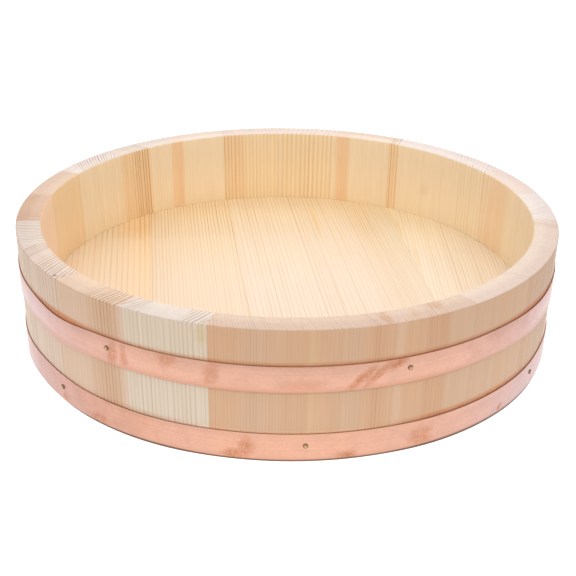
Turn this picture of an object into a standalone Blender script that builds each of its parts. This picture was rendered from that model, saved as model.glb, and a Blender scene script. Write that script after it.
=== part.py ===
"""Sushi rice tub: a coopered softwood tub with a five-board floor and two copper hoops.

Tapered staves stand in a ring, edge to edge. A bamboo peg lines up each pair of edges. The floor boards,
doweled into one disc, sit in a groove cut round the inside of the staves. Two lapped copper hoops pull the
ring tight, and brass nails keep the hoops from sliding. Units are metres, +Z is up, the tub stands on z = 0,
and angles start at the front (-Y) and grow towards +X.
"""

import math

import bmesh
import bpy
from mathutils import Euler, Matrix, Vector

# Tub
RIM_DIAMETER = 0.360
BASE_DIAMETER = 0.3556
HEIGHT = 0.085
WALL_AT_RIM = 0.016
WALL_AT_BASE = 0.0175
RIM_EASE = 0.0012
BASE_EASE = 0.0015

# Staves: widths at the rim as sawn, in order from the first joint; the ring closes them in proportion
STAVE_WIDTHS = (
    0.0518, 0.0547, 0.0495, 0.0515, 0.0504, 0.0520, 0.0495, 0.0510, 0.0498, 0.0540, 0.0490,
    0.0512, 0.0496, 0.0537, 0.0515, 0.0503, 0.0512, 0.0434, 0.0559, 0.0537, 0.0550, 0.0522,
)
FIRST_JOINT = math.radians(2.9)
STAVE_FACETS = 5
JOINT_GAP = 0.0002

# Pegs between the staves
PEG_DIAMETER = 0.0045
PEG_TIP_DIAMETER = 0.0035
PEG_LENGTH = 0.014
PEG_HEIGHT = 0.040
PEG_SIDES = 8

# Floor
FLOOR_TOP = 0.0315
FLOOR_THICKNESS = 0.013
GROOVE_DEPTH = 0.0045
BOARD_COUNT = 5
BOARD_WIDTH = 0.063
FLOOR_SHIFT = 0.0014
FLOOR_TURN = math.radians(6.9)
FLOOR_FACETS = 110

# Dowels between the floor boards
DOWEL_DIAMETER = 0.005
DOWEL_LENGTH = 0.032
DOWEL_SPREAD = 0.120
DOWELS_PER_JOINT = 2
DOWEL_SIDES = 10

# Hoops
COPPER_THICKNESS = 0.0007
UPPER_HOOP_BOTTOM = 0.0466
UPPER_HOOP_WIDTH = 0.0160
UPPER_HOOP_FLARE = 0.0002
LOWER_HOOP_BOTTOM = 0.0010
LOWER_HOOP_WIDTH = 0.0183
LOWER_HOOP_FLARE = 0.0005
LAP_LENGTH = 0.024
LAP_RAMP = 0.010
RAMP_LEAD = 1.5
HOOP_FACETS = 110

# Nails, driven by hand into solid wood beside the joints; degrees, with the hoop's lap after the last nail
UPPER_NAIL_ANGLES = (-147.5, -92, -34.5, 22.8, 80, 137, 192)
LOWER_NAIL_ANGLES = (-158, -103, -49.3, 3.9, 59.9, 114, 169)
NAIL_HEAD_DIAMETER = 0.0031
NAIL_HEAD_HEIGHT = 0.0008
NAIL_DIAMETER = 0.0013
NAIL_LENGTH = 0.009
NAIL_POINT = 0.002
NAIL_SIDES = 10
NAIL_DOME_STEPS = 3
NAIL_ABOVE_MIDDLE = 0.001

# Clearances
SEAT_GAP = 0.0003
HEAD_GAP = 0.0002
CUTTER_OVERRUN = 0.004

# Finishes: linear colour, roughness, metallic
STAVE_FINISH = ((0.62, 0.41, 0.25), 0.62, 0.0)
FLOOR_FINISH = ((0.78, 0.60, 0.38), 0.60, 0.0)
BAMBOO_FINISH = ((0.66, 0.50, 0.26), 0.50, 0.0)
COPPER_FINISH = ((0.80, 0.45, 0.33), 0.32, 1.0)
BRASS_FINISH = ((0.72, 0.50, 0.24), 0.35, 1.0)

SMOOTH_ANGLE = math.radians(30)
FULL_TURN = 2 * math.pi
QUARTER_TURN = math.pi / 2
WELD = 1e-6


def outer_radius(height):
    """Radius of the tub's outside at this height."""
    base = BASE_DIAMETER / 2
    return base + (RIM_DIAMETER / 2 - base) * height / HEIGHT


def inner_radius(height):
    """Radius of the tub's inside at this height, where the wall thins towards the rim."""
    wall = WALL_AT_BASE + (WALL_AT_RIM - WALL_AT_BASE) * height / HEIGHT
    return outer_radius(height) - wall


def groove_radius():
    return inner_radius(FLOOR_TOP) + GROOVE_DEPTH


def polar(radius, angle, height):
    """The point at this radius, angle from the front, and height."""
    return Vector((radius * math.sin(angle), -radius * math.cos(angle), height))


def pointing_out(angle, dip=0):
    """Rotation that takes a piece's own +Z to the direction at this angle, dipped below the horizontal."""
    return Euler((QUARTER_TURN + dip, 0, angle))


def clear_scene():
    for obj in list(bpy.data.objects):
        bpy.data.objects.remove(obj, do_unlink=True)


def finish(name, look):
    """A Principled material with the given colour, roughness and metallic value."""
    colour, roughness, metallic = look
    material = bpy.data.materials.new(name + "_finish")
    material.use_nodes = True
    shader = material.node_tree.nodes["Principled BSDF"]
    shader.inputs["Base Color"].default_value = (*colour, 1)
    shader.inputs["Roughness"].default_value = roughness
    shader.inputs["Metallic"].default_value = metallic
    return material


def mesh_from(bm, name):
    """Closes the books on a bmesh: normals out, round faces smooth, edges sharp."""
    bmesh.ops.recalc_face_normals(bm, faces=bm.faces)
    mesh = bpy.data.meshes.new(name)
    bm.to_mesh(mesh)
    bm.free()
    mesh.shade_smooth()
    mesh.set_sharp_from_angle(angle=SMOOTH_ANGLE)
    return mesh


def place(name, mesh, parent, location=(0, 0, 0), rotation=(0, 0, 0)):
    obj = bpy.data.objects.new(name, mesh)
    bpy.context.scene.collection.objects.link(obj)
    obj.parent = parent
    obj.location = location
    obj.rotation_euler = rotation
    return obj


def place_helper(name, mesh, parent, location=(0, 0, 0), rotation=(0, 0, 0)):
    """A cutter or joined piece: drawn as wire, left out of the finished object."""
    obj = place(name, mesh, parent, location, rotation)
    obj.hide_render = True
    obj.display_type = "WIRE"
    return obj


def combine(obj, operation, other):
    modifier = obj.modifiers.new(operation.lower() + "_" + other.name, "BOOLEAN")
    modifier.operation = operation
    modifier.solver = "EXACT"
    modifier.object = other


def add_rod(bm, radius, tip_radius, length, sides, centre, rotation):
    """Adds a closed round rod along its own Z, centred at a point and turned."""
    turned = Matrix.LocRotScale(centre, rotation, None)
    bmesh.ops.create_cone(
        bm, cap_ends=True, segments=sides, radius1=radius, radius2=tip_radius, depth=length, matrix=turned
    )


def rod_mesh(name, radius, tip_radius, length, sides):
    bm = bmesh.new()
    add_rod(bm, radius, tip_radius, length, sides, Vector(), None)
    return mesh_from(bm, name)


def stave_spans():
    """The (start, end) angles of each stave, from its share of the widths."""
    around = sum(STAVE_WIDTHS)
    start = FIRST_JOINT
    spans = []
    for width in STAVE_WIDTHS:
        end = start + FULL_TURN * width / around
        spans.append((start, end))
        start = end
    return spans


def stave_profile():
    """The stave's section as (radius, height) points, from the outer foot over the rim to the inner foot."""
    groove_top = FLOOR_TOP + SEAT_GAP
    groove_bottom = FLOOR_TOP - FLOOR_THICKNESS - SEAT_GAP
    return [
        (outer_radius(0) - BASE_EASE, 0),
        (outer_radius(BASE_EASE), BASE_EASE),
        (outer_radius(HEIGHT - RIM_EASE), HEIGHT - RIM_EASE),
        (outer_radius(HEIGHT) - RIM_EASE, HEIGHT),
        (inner_radius(HEIGHT) + RIM_EASE, HEIGHT),
        (inner_radius(HEIGHT - RIM_EASE), HEIGHT - RIM_EASE),
        (inner_radius(groove_top), groove_top),
        (groove_radius(), groove_top),
        (groove_radius(), groove_bottom),
        (inner_radius(groove_bottom), groove_bottom),
        (inner_radius(BASE_EASE), BASE_EASE),
        (inner_radius(0) + BASE_EASE, 0),
    ]


def stave_mesh(name, half_angle):
    """The section swept round the tub's axis, with a flat radial joint face at each end."""
    bm = bmesh.new()
    section = [bm.verts.new(polar(radius, -half_angle, height)) for radius, height in stave_profile()]
    edges = [bm.edges.new((a, b)) for a, b in zip(section, section[1:] + section[:1])]
    bmesh.ops.spin(
        bm,
        geom=section + edges,
        cent=(0, 0, 0),
        axis=(0, 0, 1),
        angle=2 * half_angle,
        steps=STAVE_FACETS,
        use_duplicate=False,
    )
    bmesh.ops.holes_fill(bm, edges=[edge for edge in bm.edges if edge.is_boundary])
    return mesh_from(bm, name)


def peg_radius_in_wall():
    """Where the pegs run: the middle of the wall at their height."""
    return (outer_radius(PEG_HEIGHT) + inner_radius(PEG_HEIGHT)) / 2


def make_staves(tub, drilled):
    """Each stave has sockets and nail holes drilled, then its own peg driven into its far edge."""
    peg_mesh = rod_mesh("peg", PEG_DIAMETER / 2, PEG_TIP_DIAMETER / 2, PEG_LENGTH, PEG_SIDES)
    joint_clearance = JOINT_GAP / RIM_DIAMETER
    for number, (start, end) in enumerate(stave_spans(), 1):
        name = f"stave_{number:02d}"
        half_angle = (end - start) / 2
        mesh = stave_mesh(name, half_angle - joint_clearance)
        mesh.materials.append(finish(name, STAVE_FINISH))
        stave = place(name, mesh, tub, rotation=(0, 0, (start + end) / 2))
        peg = place_helper(
            f"peg_of_{name}",
            peg_mesh,
            stave,
            location=polar(peg_radius_in_wall(), half_angle, PEG_HEIGHT),
            rotation=pointing_out(half_angle + QUARTER_TURN),
        )
        combine(stave, "DIFFERENCE", drilled)
        combine(stave, "UNION", peg)


def hoop_radius(bottom, width, flare, height):
    """Inner radius of a hoop: seated on the staves at its foot, standing off a little more at its top."""
    share = (height - bottom) / width
    foot = outer_radius(bottom) + SEAT_GAP
    top = outer_radius(bottom + width) + SEAT_GAP + flare
    return foot + (top - foot) * share


def hoop_mesh(name, bottom, width, flare, nail_angles):
    """A strip bent once round the tub, its end stepped out to lie over its beginning.

    The step and the lap share the space between the last nail and the first.
    """
    radius = hoop_radius(bottom, width, flare, bottom)
    lap = LAP_LENGTH / radius
    ramp = LAP_RAMP / radius
    step_out = COPPER_THICKNESS + SEAT_GAP
    between_nails = math.radians((nail_angles[-1] - 360 + nail_angles[0]) / 2)
    start = between_nails - (lap - RAMP_LEAD * ramp) / 2
    turn = FULL_TURN + lap
    steps = round(HOOP_FACETS * turn / FULL_TURN)
    bm = bmesh.new()
    sections = []
    for step in range(steps + 1):
        along = turn * step / steps
        rise = min(max((along - FULL_TURN) / ramp + RAMP_LEAD, 0), 1) * step_out
        section = []
        for height, wall in ((bottom, 0), (bottom + width, 0), (bottom + width, 1), (bottom, 1)):
            inside = hoop_radius(bottom, width, flare, height) + rise
            section.append(bm.verts.new(polar(inside + wall * COPPER_THICKNESS, start + along, height)))
        sections.append(section)
    for near, far in zip(sections, sections[1:]):
        for i in range(4):
            bm.faces.new((near[i], near[i - 1], far[i - 1], far[i]))
    bm.faces.new(sections[0])
    bm.faces.new(sections[-1])
    return mesh_from(bm, name)


def make_hoops(tub, drilled):
    for name, bottom, width, flare, nail_angles in (
        ("upper_hoop", UPPER_HOOP_BOTTOM, UPPER_HOOP_WIDTH, UPPER_HOOP_FLARE, UPPER_NAIL_ANGLES),
        ("lower_hoop", LOWER_HOOP_BOTTOM, LOWER_HOOP_WIDTH, LOWER_HOOP_FLARE, LOWER_NAIL_ANGLES),
    ):
        mesh = hoop_mesh(name, bottom, width, flare, nail_angles)
        mesh.materials.append(finish(name, COPPER_FINISH))
        combine(place(name, mesh, tub), "DIFFERENCE", drilled)


def nail_seats():
    """The name, seat point on the hoop's outside, and rotation of every nail, driven square to its hoop."""
    seats = []
    for hoop, angles, bottom, width, flare in (
        ("upper", UPPER_NAIL_ANGLES, UPPER_HOOP_BOTTOM, UPPER_HOOP_WIDTH, UPPER_HOOP_FLARE),
        ("lower", LOWER_NAIL_ANGLES, LOWER_HOOP_BOTTOM, LOWER_HOOP_WIDTH, LOWER_HOOP_FLARE),
    ):
        height = bottom + width / 2 + NAIL_ABOVE_MIDDLE
        spread = hoop_radius(bottom, width, flare, bottom + width) - hoop_radius(bottom, width, flare, bottom)
        dip = math.atan2(spread, width)
        radius = hoop_radius(bottom, width, flare, height) + COPPER_THICKNESS + HEAD_GAP / math.cos(dip)
        for number, degrees in enumerate(angles, 1):
            angle = math.radians(degrees)
            name = f"{hoop}_nail_{number}"
            seats.append((name, polar(radius, angle, height), pointing_out(angle, dip)))
    return seats


def nail_mesh():
    """A turned nail along +Z: point, shank, flat under the head, domed top."""
    head = NAIL_HEAD_DIAMETER / 2
    shank = NAIL_DIAMETER / 2
    outline = [
        (0, -NAIL_LENGTH),
        (shank, -NAIL_LENGTH + NAIL_POINT),
        (shank, 0),
        (head, 0),
    ]
    for step in range(1, NAIL_DOME_STEPS + 1):
        arc = QUARTER_TURN * step / NAIL_DOME_STEPS
        outline.append((head * math.cos(arc), NAIL_HEAD_HEIGHT * math.sin(arc)))
    bm = bmesh.new()
    points = [bm.verts.new((radius, 0, height)) for radius, height in outline]
    edges = [bm.edges.new(pair) for pair in zip(points, points[1:])]
    bmesh.ops.spin(
        bm,
        geom=points + edges,
        cent=(0, 0, 0),
        axis=(0, 0, 1),
        angle=FULL_TURN,
        steps=NAIL_SIDES,
        use_duplicate=False,
    )
    bmesh.ops.remove_doubles(bm, verts=bm.verts, dist=WELD)
    return mesh_from(bm, "nail")


def make_nails(tub):
    shape = nail_mesh()
    for name, seat, rotation in nail_seats():
        mesh = shape.copy()
        mesh.materials.append(finish(name, BRASS_FINISH))
        place(name, mesh, tub, seat, rotation)


def make_drilled(tub):
    """The holes to drill: a socket for each peg's free half, and a hole for each nail."""
    bm = bmesh.new()
    socket_depth = PEG_LENGTH / 2 + SEAT_GAP
    socket_radius = PEG_DIAMETER / 2 + SEAT_GAP
    for _, joint in stave_spans():
        along = Vector((math.cos(joint), math.sin(joint), 0))
        centre = polar(peg_radius_in_wall(), joint, PEG_HEIGHT) + along * socket_depth / 2
        rotation = pointing_out(joint + QUARTER_TURN)
        add_rod(bm, socket_radius, socket_radius, socket_depth, PEG_SIDES, centre, rotation)
    hole_radius = NAIL_DIAMETER / 2 + SEAT_GAP
    hole_length = NAIL_LENGTH + SEAT_GAP + CUTTER_OVERRUN
    for _, seat, rotation in nail_seats():
        outward = rotation.to_matrix() @ Vector((0, 0, 1))
        centre = seat + outward * (CUTTER_OVERRUN - hole_length / 2)
        add_rod(bm, hole_radius, hole_radius, hole_length, NAIL_SIDES, centre, rotation)
    return place_helper("drilled_holes", mesh_from(bm, "drilled_holes"), tub)


def board_joints():
    """Where the board joints lie across the floor, from the left edge to the right."""
    first = FLOOR_SHIFT - BOARD_WIDTH * (BOARD_COUNT - 2) / 2
    return [first + BOARD_WIDTH * i for i in range(BOARD_COUNT - 1)]


def board_mesh(name, left, right):
    """The floor disc, cut down to the strip between two joints; None leaves the disc's own edge."""
    bm = bmesh.new()
    centre = Matrix.Translation((0, 0, FLOOR_TOP - FLOOR_THICKNESS / 2))
    bmesh.ops.create_cone(
        bm,
        cap_ends=True,
        segments=FLOOR_FACETS,
        radius1=groove_radius() - SEAT_GAP,
        radius2=groove_radius() - SEAT_GAP,
        depth=FLOOR_THICKNESS,
        matrix=centre,
    )
    for joint, side in ((left, -1), (right, 1)):
        if joint is None:
            continue
        cut = bmesh.ops.bisect_plane(
            bm,
            geom=bm.verts[:] + bm.edges[:] + bm.faces[:],
            plane_co=(joint - side * JOINT_GAP / 2, 0, 0),
            plane_no=(side, 0, 0),
            clear_outer=True,
        )
        rim = [item for item in cut["geom_cut"] if isinstance(item, bmesh.types.BMEdge)]
        bmesh.ops.edgeloop_fill(bm, edges=rim)
    return mesh_from(bm, name)


def make_floor(tub):
    """Boards side by side, drilled across their joints for bamboo dowels."""
    holes = bmesh.new()
    dowel = rod_mesh("dowel", DOWEL_DIAMETER / 2, DOWEL_DIAMETER / 2, DOWEL_LENGTH, DOWEL_SIDES)
    radius = DOWEL_DIAMETER / 2 + SEAT_GAP
    length = DOWEL_LENGTH + 2 * SEAT_GAP
    across = Euler((0, QUARTER_TURN, 0))
    floor = bpy.data.objects.new("floor", None)
    bpy.context.scene.collection.objects.link(floor)
    floor.parent = tub
    floor.rotation_euler = (0, 0, FLOOR_TURN)
    joints = board_joints()
    spacing = DOWEL_SPREAD / (DOWELS_PER_JOINT - 1)
    number = 0
    for joint in joints:
        for i in range(DOWELS_PER_JOINT):
            number += 1
            name = f"floor_dowel_{number}"
            seat = Vector((joint, i * spacing - DOWEL_SPREAD / 2, FLOOR_TOP - FLOOR_THICKNESS / 2))
            add_rod(holes, radius, radius, length, DOWEL_SIDES, seat, across)
            mesh = dowel.copy()
            mesh.materials.append(finish(name, BAMBOO_FINISH))
            place(name, mesh, floor, seat, across)
    bores = place_helper("dowel_bores", mesh_from(holes, "dowel_bores"), floor)
    for i, (left, right) in enumerate(zip([None] + joints, joints + [None]), 1):
        name = f"floor_board_{i}"
        mesh = board_mesh(name, left, right)
        mesh.materials.append(finish(name, FLOOR_FINISH))
        combine(place(name, mesh, floor), "DIFFERENCE", bores)


def main():
    clear_scene()
    tub = bpy.data.objects.new("tub", None)
    bpy.context.scene.collection.objects.link(tub)
    drilled = make_drilled(tub)
    make_staves(tub, drilled)
    make_floor(tub)
    make_hoops(tub, drilled)
    make_nails(tub)


main()
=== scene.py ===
# %% [markdown]
# # A coopered rice tub
#
# This lesson dresses a wide, shallow wooden tub of the kind that cooks use to cool rice. Twenty-two
# softwood staves stand in a ring, five boards make the floor, two copper hoops pull the ring tight, and
# small brass nails keep the hoops in place. The imported model gives the true places and sizes of all of
# these. Here each visible piece is modelled again with softer edges, and gets a finish with grain, stains,
# tarnish, and some painted light and shade.

# %% Load the imported tub
import math

import bmesh
import bpy
from mathutils import Matrix, Vector


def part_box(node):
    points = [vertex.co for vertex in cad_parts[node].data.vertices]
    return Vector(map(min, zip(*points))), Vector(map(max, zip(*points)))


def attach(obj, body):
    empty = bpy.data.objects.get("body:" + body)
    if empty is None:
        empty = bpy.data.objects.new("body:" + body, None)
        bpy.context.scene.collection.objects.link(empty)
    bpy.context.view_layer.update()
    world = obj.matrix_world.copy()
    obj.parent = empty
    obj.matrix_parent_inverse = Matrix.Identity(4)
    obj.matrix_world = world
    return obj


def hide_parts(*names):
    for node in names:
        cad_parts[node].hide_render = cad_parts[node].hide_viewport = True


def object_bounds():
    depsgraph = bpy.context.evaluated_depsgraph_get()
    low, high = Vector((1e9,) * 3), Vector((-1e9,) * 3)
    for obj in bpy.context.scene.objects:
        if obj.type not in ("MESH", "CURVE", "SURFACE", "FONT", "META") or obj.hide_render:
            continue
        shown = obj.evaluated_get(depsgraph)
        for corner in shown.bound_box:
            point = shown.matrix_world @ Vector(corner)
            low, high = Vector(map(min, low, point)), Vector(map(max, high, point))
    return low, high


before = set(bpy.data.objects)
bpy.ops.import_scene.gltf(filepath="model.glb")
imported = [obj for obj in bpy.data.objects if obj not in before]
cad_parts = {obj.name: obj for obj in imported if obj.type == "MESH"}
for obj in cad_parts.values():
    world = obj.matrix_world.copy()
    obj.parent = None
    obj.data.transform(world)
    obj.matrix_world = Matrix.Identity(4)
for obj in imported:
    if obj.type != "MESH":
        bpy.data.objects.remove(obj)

cad_low, cad_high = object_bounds()
print("packed tub, low and high corner:", tuple(cad_low), tuple(cad_high))

# %% [markdown]
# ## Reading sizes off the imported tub
#
# Nothing here is measured twice. A coopered tub is round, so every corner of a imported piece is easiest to
# read as an angle, a radius and a height. Angles start at the front of the tub and grow towards the right,
# as they would on a clock laid flat and seen from below. The walls, the floor and each stave's share of the
# ring come from these corners.

# %% Corners as angle, radius and height


def angle_of(point):
    """Degrees from the front (-Y), growing towards +X."""
    return math.degrees(math.atan2(point.x, -point.y))


def radius_of(point):
    return math.hypot(point.x, point.y)


def corners(node):
    return [vertex.co.copy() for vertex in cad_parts[node].data.vertices]


EDGE_BAND = 0.002

tub_height = cad_high.z
first_stave = corners("stave_01")
rim_radii = [radius_of(p) for p in first_stave if p.z > tub_height - EDGE_BAND]
foot_radii = [radius_of(p) for p in first_stave if p.z < EDGE_BAND]
rim_outside, rim_inside = max(rim_radii), min(rim_radii)
foot_outside, foot_inside = max(foot_radii), min(foot_radii)
floor_bottom, floor_top = (corner.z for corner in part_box("floor_board_3"))
floor_radius = max(radius_of(p) for p in corners("floor_board_3"))
print(f"rim {rim_outside:.4f} to {rim_inside:.4f} m, foot {foot_outside:.4f} to {foot_inside:.4f} m")
print(f"floor from {floor_bottom:.4f} to {floor_top:.4f} m high, {floor_radius:.4f} m in radius")

# %% Where each stave starts and ends
STAVE_COUNT = 22


def stave_span(node):
    """The first and last angle of a stave, read at its rim, with the last angle always the larger."""
    angles = sorted(angle_of(p) for p in corners(node) if p.z > tub_height - EDGE_BAND)
    if angles[-1] - angles[0] > 180:
        angles = sorted(angle % 360 for angle in angles)
    return angles[0], angles[-1]


stave_nodes = [f"stave_{number:02d}" for number in range(1, STAVE_COUNT + 1)]
spans = {node: stave_span(node) for node in stave_nodes}
print("stave widths, degrees:", [round(last - first, 1) for first, last in spans.values()])

# %% [markdown]
# ## Camera, light and table
#
# The tub is photographed on a lit white table, the kind that makes small products float on white. The
# camera comes first, with a lens and a place that match the photograph. The table gives some light of its
# own, so the shadow under the tub nearly disappears. A dome of pale light fills every side. One large soft
# light stands behind the tub, so that its back wall throws a wide soft shadow over the floor. A smaller one
# hangs above, a little to the front. It reaches the inner wall and the floor, but only grazes the outside.

# %% Camera
CAMERA_PLACE = (0.00058, -0.71755, 0.3645)
LENS_MM = 70.94
LOOK_DOWN = math.radians(25.33)
LOOK_ASIDE = math.radians(-0.04)
CAMERA_ROLL = 0.0146
SENSOR_MM = 36

bpy.ops.object.select_all(action="DESELECT")
bpy.ops.object.camera_add()
camera = bpy.context.object
camera.name = "studio_camera"
aim = Matrix.Rotation(LOOK_ASIDE, 4, "Z") @ Matrix.Rotation(math.pi / 2 - LOOK_DOWN, 4, "X")
camera.matrix_world = Matrix.Translation(CAMERA_PLACE) @ aim @ Matrix.Rotation(CAMERA_ROLL, 4, "Z")
camera.data.lens = LENS_MM
camera.data.sensor_width = SENSOR_MM
bpy.context.scene.camera = camera
print("camera looks down by", round(math.degrees(LOOK_DOWN), 1), "degrees")

# %% Dome of light, and two soft lights
DOME_STRENGTH = 0.80

world = bpy.data.worlds.new("pale_studio")
world.use_nodes = True
world.node_tree.nodes["Background"].inputs["Color"].default_value = (1, 1, 1, 1)
world.node_tree.nodes["Background"].inputs["Strength"].default_value = DOME_STRENGTH
bpy.context.scene.world = world
bpy.context.scene.view_settings.view_transform = "Standard"


def hang_softbox(name, place, size, power):
    """A square light at a place above the table, aimed at the middle of the tub."""
    bpy.ops.object.light_add(type="AREA", location=place)
    softbox = bpy.context.object
    softbox.name = name
    softbox.data.size = size
    softbox.data.energy = power
    softbox.rotation_euler = (-math.atan2(place[1], place[2]), 0, 0)
    print(name, "of", size, "m at", place)


hang_softbox("back_softbox", place=(0, 1.05, 0.95), size=1.2, power=8)
hang_softbox("front_softbox", place=(0, -0.40, 1.00), size=0.8, power=4.3)

# %% [markdown]
# ## Writing shader maths as sums
#
# A finish is a graph of small nodes. Adding each node by hand would bury the idea under plumbing, so one
# small class wraps a socket. Sums and products of wrapped sockets then add the Math nodes themselves, and
# one method adds any other node. Colours are mixed by Mix nodes and scaled by Vector Math.

# %% A wire is a socket that can be calculated with


class Wire:
    """One output socket of a node tree."""

    def __init__(self, tree, socket):
        self.tree = tree
        self.socket = socket

    def node(self, kind, settings=None, inputs=None, output=0):
        """Adds a node: first its settings, then a value or a wire for each named input."""
        made = self.tree.nodes.new(kind)
        for setting, value in (settings or {}).items():
            if setting == "stops":
                fill_ramp(made.color_ramp, value)
            else:
                setattr(made, setting, value)
        for name, value in (inputs or {}).items():
            if isinstance(value, Wire):
                self.tree.links.new(value.socket, made.inputs[name])
            else:
                made.inputs[name].default_value = value
        return Wire(self.tree, made.outputs[output])

    def beside(self, output):
        """Another output of the same node."""
        return Wire(self.tree, self.socket.node.outputs[output])

    def into(self, shader, name):
        self.tree.links.new(self.socket, shader.inputs[name])

    def math(self, operation, *others):
        return self.node("ShaderNodeMath", {"operation": operation}, dict(enumerate((self, *others))))

    def __add__(self, other):
        return self.math("ADD", other)

    __radd__ = __add__

    def __mul__(self, other):
        return self.math("MULTIPLY", other)

    __rmul__ = __mul__

    def __sub__(self, other):
        return self.math("SUBTRACT", other)

    def __rsub__(self, other):
        return self * -1 + other

    def __truediv__(self, other):
        return self.math("DIVIDE", other)

    def __rtruediv__(self, other):
        return self.math("POWER", -1) * other

    def rise(self, low, high):
        """A smooth climb from 0 at low to 1 at high. With low above high it falls instead."""
        settings = {"interpolation_type": "SMOOTHSTEP"}
        return self.node("ShaderNodeMapRange", settings, {"Value": self, "From Min": low, "From Max": high})

    def hump(self, middle, half_width, softness):
        """1 within half_width of the middle, fading to 0 over the softness."""
        away = (self - middle).math("ABSOLUTE")
        return away.rise(half_width + softness, half_width)

    def mix(self, other, factor, blend="MIX"):
        """This colour mixed with another by a factor."""
        settings = {"data_type": "RGBA", "blend_type": blend}
        return self.node("ShaderNodeMix", settings, {0: factor, 6: self, 7: other}, output=2)

    def scaled(self, amount):
        """This colour or vector times a number."""
        return self.node("ShaderNodeVectorMath", {"operation": "SCALE"}, {0: self, "Scale": amount})

    def tinted(self, amount, hue):
        """This colour made lighter or darker by an amount. The hue shares it out over red, green and blue."""
        inputs = {0: amount, 1: hue, 2: (1, 1, 1)}
        shade = self.node("ShaderNodeVectorMath", {"operation": "MULTIPLY_ADD"}, inputs)
        return self.node("ShaderNodeVectorMath", {"operation": "MULTIPLY"}, {0: self, 1: shade})

    def noise(self, stretch, detail=2.0, seed=0.0):
        """Noise around 0, on this vector stretched by a scale for each axis."""
        moved = {"Vector": self, "Scale": stretch, "Location": (seed, seed, seed)}
        place = self.node("ShaderNodeMapping", {"vector_type": "POINT"}, moved)
        inputs = {"Vector": place, "Scale": 1.0, "Detail": detail}
        return self.node("ShaderNodeTexNoise", {"noise_dimensions": "3D"}, inputs) - 0.5

    def noise_along(self, scale, seed=0.0):
        """Slow noise around 0 along one number."""
        inputs = {"W": self + seed, "Scale": scale, "Detail": 1.0}
        return self.node("ShaderNodeTexNoise", {"noise_dimensions": "1D"}, inputs) - 0.5


print("sockets can be calculated with")

# %% Ramps, new finishes, bumps and patches
PATCH_FADE = (1.1, 0.3)


def fill_ramp(ramp, stops):
    """Gives a colour ramp its stops, each a place and a colour with alpha."""
    while len(ramp.elements) < len(stops):
        ramp.elements.new(0.5)
    for element, (place, colour) in zip(ramp.elements, stops):
        element.position = place
        element.color = colour


def new_finish(name):
    """A material, its shader, and a wire that reads Object coordinates."""
    material = bpy.data.materials.new(name)
    material.use_nodes = True
    coordinates = material.node_tree.nodes.new("ShaderNodeTexCoord")
    shader = material.node_tree.nodes["Principled BSDF"]
    return material, shader, Wire(material.node_tree, coordinates.outputs["Object"])


def bump_into(shader, height):
    """Feeds a height in metres to the shader's normal."""
    height.node("ShaderNodeBump", None, {"Height": height, "Distance": 1.0}).into(shader, "Normal")


def patch(aside, upward, middle, half, slant, ragged):
    """1 in the middle of an ellipse, fading to 0 past its edge. The edge slants and is ragged by a noise."""
    right = (aside - middle[0] - (upward - middle[1]) * slant) / half[0]
    up = (upward - middle[1]) / half[1]
    away = (right * right + up * up).math("SQRT") + ragged
    return away.rise(*PATCH_FADE)


print("patches fade from", PATCH_FADE[1], "to", PATCH_FADE[0], "of their half size")

# %% Lit white table
TABLE_SIZE = 8.0
TABLE_DROP = 0.0002
TABLE_COLOUR = (0.36, 0.36, 0.36, 1)
TABLE_GLOW = 1.10
FAR_GLOW = (0.66, 0.66, 0.66, 1)
GLOW_NEAR, GLOW_FAR = 0.19, 0.60
TABLE_ROUGHNESS = 0.9

bpy.ops.object.select_all(action="DESELECT")
bpy.ops.mesh.primitive_plane_add(size=TABLE_SIZE, location=(0, 0, -TABLE_DROP))
bpy.ops.object.transform_apply(location=True, rotation=True, scale=True)
table = bpy.context.object
table.name = "white_table"
table_finish, table_shader, table_place = new_finish("lit_white_table")
away = table_place.node("ShaderNodeVectorMath", {"operation": "LENGTH"}, {0: table_place}, output="Value")
near_glow = table_place.node("ShaderNodeRGB")
near_glow.socket.default_value = (1, 1, 1, 1)
near_glow.mix(FAR_GLOW, away.rise(GLOW_NEAR, GLOW_FAR)).into(table_shader, "Emission Color")
table_shader.inputs["Emission Strength"].default_value = TABLE_GLOW
table_shader.inputs["Base Color"].default_value = TABLE_COLOUR
table_shader.inputs["Roughness"].default_value = TABLE_ROUGHNESS
table_shader.inputs["Specular IOR Level"].default_value = 0.0
table.data.materials.append(table_finish)
print("table of", TABLE_SIZE, "m")
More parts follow.
